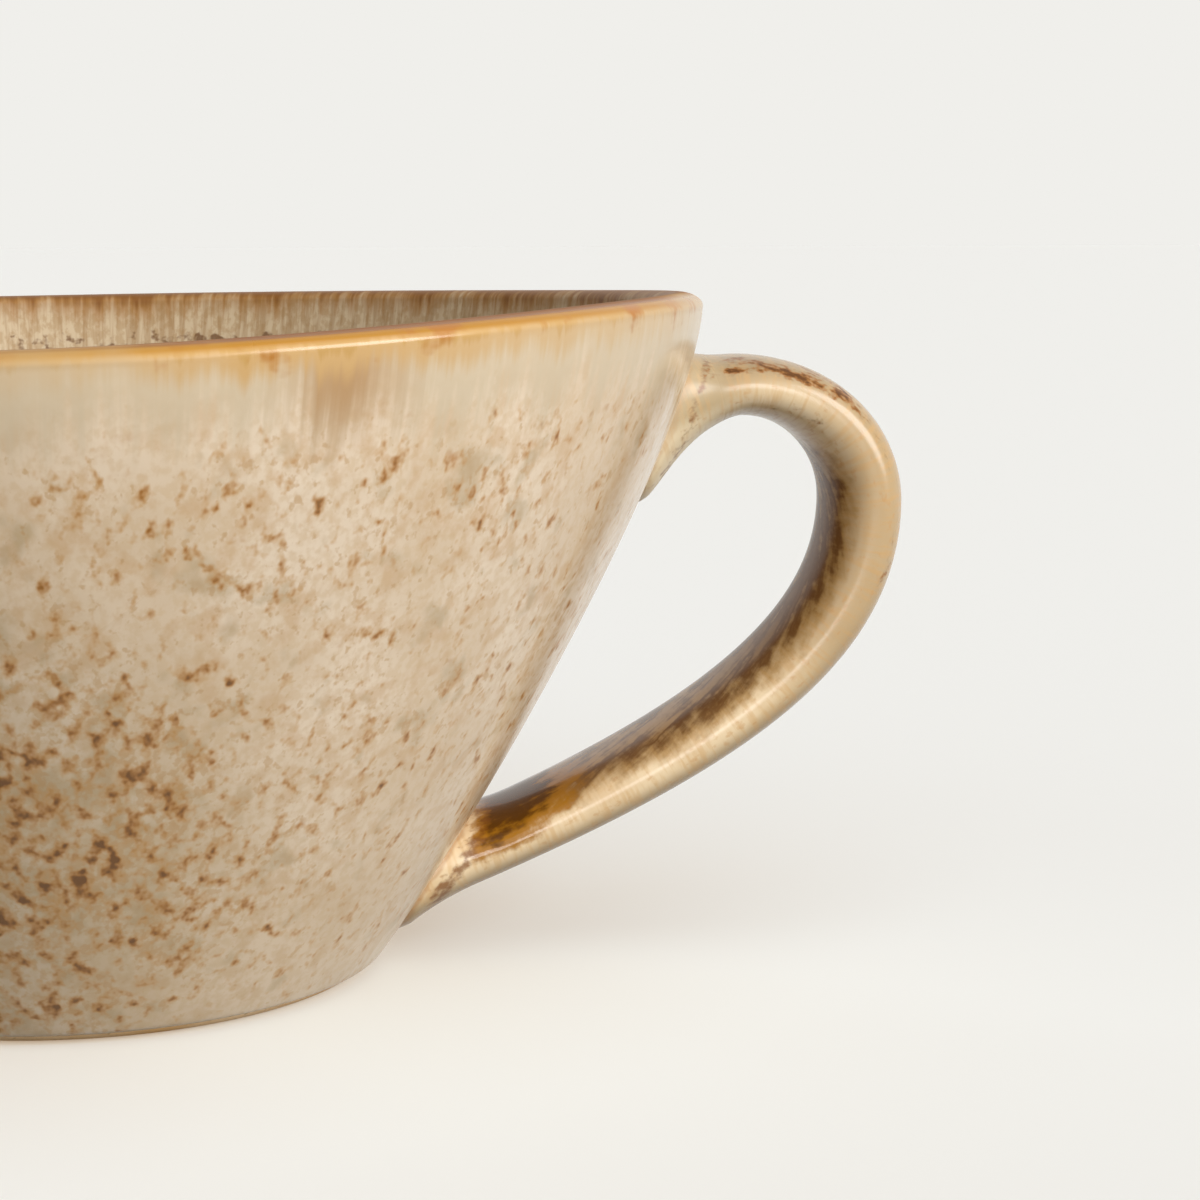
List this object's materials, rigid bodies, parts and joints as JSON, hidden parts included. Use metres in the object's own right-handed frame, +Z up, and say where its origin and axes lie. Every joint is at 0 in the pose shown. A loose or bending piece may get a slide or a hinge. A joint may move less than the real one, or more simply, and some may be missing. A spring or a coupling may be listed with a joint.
{
  "type": "mug",
  "caption": "Cone-shaped stoneware cappuccino mug with a looped strap handle, an uneven rim and a bare foot ring, for hot drinks.",
  "frame": {"origin": "on the bowl's axis, in the plane that the foot ring stands on", "axes": "+Z up along the bowl's axis, +X towards the handle"},
  "size_m": [0.1293, 0.11, 0.0587],
  "materials": {
    "clay": "bare fired stoneware, matt orange-tan",
    "slip": "fired slip, matt",
    "sand_glaze": "glossy sand reactive glaze with brown speckles",
    "amber_glaze": "glossy amber iron glaze",
    "liner_glaze": "glossy grey-beige glaze with brown streaks"
  },
  "bodies": {
    "root": {"clay_bowl": "clay", "clay_handle": "clay", "upper_slip_joint": "slip", "lower_slip_joint": "slip", "outer_glaze": "sand_glaze", "rim_glaze": "amber_glaze", "liner_glaze": "liner_glaze", "handle_glaze": "sand_glaze"}
  },
  "joints": []
}
